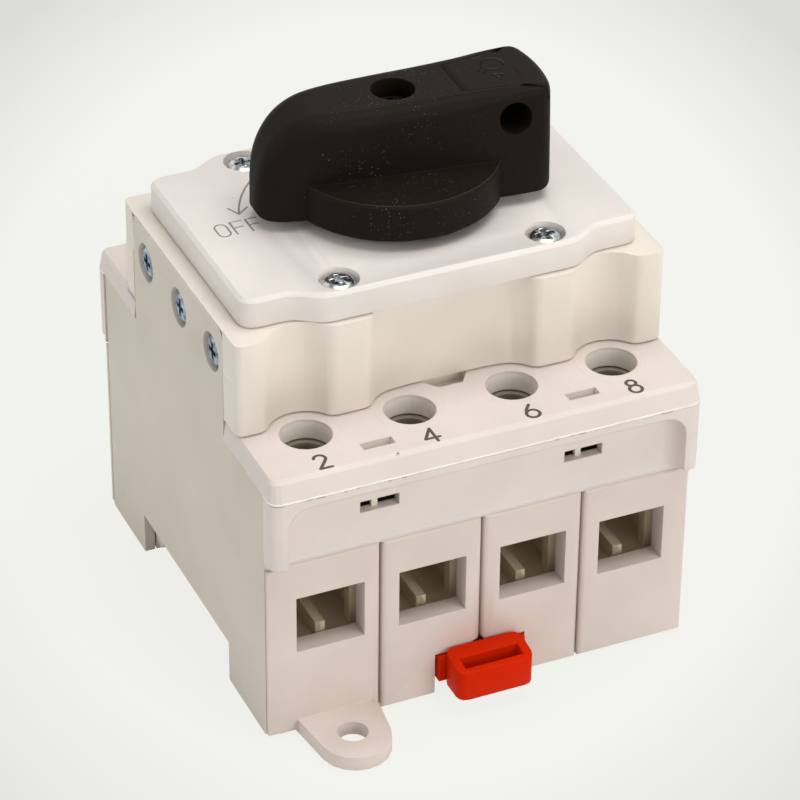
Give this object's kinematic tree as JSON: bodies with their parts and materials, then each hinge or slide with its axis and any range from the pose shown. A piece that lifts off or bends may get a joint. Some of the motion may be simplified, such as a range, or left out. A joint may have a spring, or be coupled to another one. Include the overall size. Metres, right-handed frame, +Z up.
{
  "type": "dc isolator switch",
  "caption": "Rotary dc isolator switch: a row of pole housings with screw terminals, a black handle with a lock slide, a red rail clip and screw ears.",
  "frame": {"origin": "middle of the base's underside", "axes": "+X along the row of poles, -Y to the numbered front terminals, +Z up to the handle"},
  "size_m": [0.0727, 0.0964, 0.09],
  "materials": {
    "body_plastic": "satin",
    "cover_plastic": "satin",
    "handle_plastic": "matt",
    "clip_plastic": "satin",
    "inner_plastic": "matt",
    "zinc_steel": "bright zinc",
    "contact_copper": "plain",
    "spring_steel": "plain"
  },
  "bodies": {
    "frame": {"pole_housing_1": "body_plastic", "pole_housing_2": "body_plastic", "pole_housing_3": "body_plastic", "pole_housing_4": "body_plastic", "side_plate": "body_plastic", "terminal_cover": "cover_plastic", "mechanism_housing": "cover_plastic", "top_plate": "cover_plastic", "plate_screw_1": "zinc_steel", "plate_screw_2": "zinc_steel", "plate_screw_3": "zinc_steel", "plate_screw_4": "zinc_steel", "side_screw_1": "zinc_steel", "side_screw_2": "zinc_steel", "side_screw_3": "zinc_steel", "carrier_spring_1": "spring_steel", "carrier_spring_2": "spring_steel", "fixed_contact_front_1": "contact_copper", "fixed_contact_front_2": "contact_copper", "fixed_contact_front_3": "contact_copper", "fixed_contact_front_4": "contact_copper", "fixed_contact_rear_1": "contact_copper", "fixed_contact_rear_2": "contact_copper", "fixed_contact_rear_3": "contact_copper", "fixed_contact_rear_4": "contact_copper", "terminal_screw_front_1": "zinc_steel", "terminal_screw_front_2": "zinc_steel", "terminal_screw_front_3": "zinc_steel", "terminal_screw_front_4": "zinc_steel", "terminal_screw_rear_1": "zinc_steel", "terminal_screw_rear_2": "zinc_steel", "terminal_screw_rear_3": "zinc_steel", "terminal_screw_rear_4": "zinc_steel"},
    "knob": {"handle": "handle_plastic", "handle_screw": "zinc_steel", "cam_spindle": "inner_plastic"},
    "lock": {"lock_latch": "handle_plastic"},
    "carrier": {"contact_carrier": "inner_plastic", "moving_contact_1": "contact_copper", "moving_contact_2": "contact_copper", "moving_contact_3": "contact_copper", "moving_contact_4": "contact_copper"},
    "clip": {"rail_clip": "clip_plastic"},
    "clamp_front_1": {"terminal_clamp_front_1": "zinc_steel"},
    "clamp_front_2": {"terminal_clamp_front_2": "zinc_steel"},
    "clamp_front_3": {"terminal_clamp_front_3": "zinc_steel"},
    "clamp_front_4": {"terminal_clamp_front_4": "zinc_steel"},
    "clamp_rear_1": {"terminal_clamp_rear_1": "zinc_steel"},
    "clamp_rear_2": {"terminal_clamp_rear_2": "zinc_steel"},
    "clamp_rear_3": {"terminal_clamp_rear_3": "zinc_steel"},
    "clamp_rear_4": {"terminal_clamp_rear_4": "zinc_steel"}
  },
  "joints": [
    {"name": "handle_turn", "type": "hinge", "parent": "frame", "child": "knob", "pos_m": [0, 0, 0.0728], "axis": [0, 0, 1], "range_deg": [-90, 0]},
    {"name": "lock_slide", "type": "slide", "parent": "knob", "child": "lock", "axis": [1, 0, 0], "range_m": [0, 0.004]},
    {"name": "carrier_slide", "type": "slide", "parent": "frame", "child": "carrier", "axis": [0, 0, 1], "range_m": [-0.004, 0], "deforming": ["carrier_spring_1", "carrier_spring_2"]},
    {"name": "clip_slide", "type": "slide", "parent": "frame", "child": "clip", "axis": [0, -1, 0], "range_m": [0, 0.004], "stiffness_N_per_m": 1500, "springref_m": -0.002},
    {"name": "clamp_front_1_slide", "type": "slide", "parent": "frame", "child": "clamp_front_1", "axis": [0, 0, 1], "range_m": [-0.005, 0]},
    {"name": "clamp_front_2_slide", "type": "slide", "parent": "frame", "child": "clamp_front_2", "axis": [0, 0, 1], "range_m": [-0.005, 0]},
    {"name": "clamp_front_3_slide", "type": "slide", "parent": "frame", "child": "clamp_front_3", "axis": [0, 0, 1], "range_m": [-0.005, 0]},
    {"name": "clamp_front_4_slide", "type": "slide", "parent": "frame", "child": "clamp_front_4", "axis": [0, 0, 1], "range_m": [-0.005, 0]},
    {"name": "clamp_rear_1_slide", "type": "slide", "parent": "frame", "child": "clamp_rear_1", "axis": [0, 0, 1], "range_m": [-0.005, 0]},
    {"name": "clamp_rear_2_slide", "type": "slide", "parent": "frame", "child": "clamp_rear_2", "axis": [0, 0, 1], "range_m": [-0.005, 0]},
    {"name": "clamp_rear_3_slide", "type": "slide", "parent": "frame", "child": "clamp_rear_3", "axis": [0, 0, 1], "range_m": [-0.005, 0]},
    {"name": "clamp_rear_4_slide", "type": "slide", "parent": "frame", "child": "clamp_rear_4", "axis": [0, 0, 1], "range_m": [-0.005, 0]}
  ],
  "couplings": [
    {"joint": "carrier_slide", "follows": "handle_turn", "m_per_rad": 0.0025464}
  ]
}
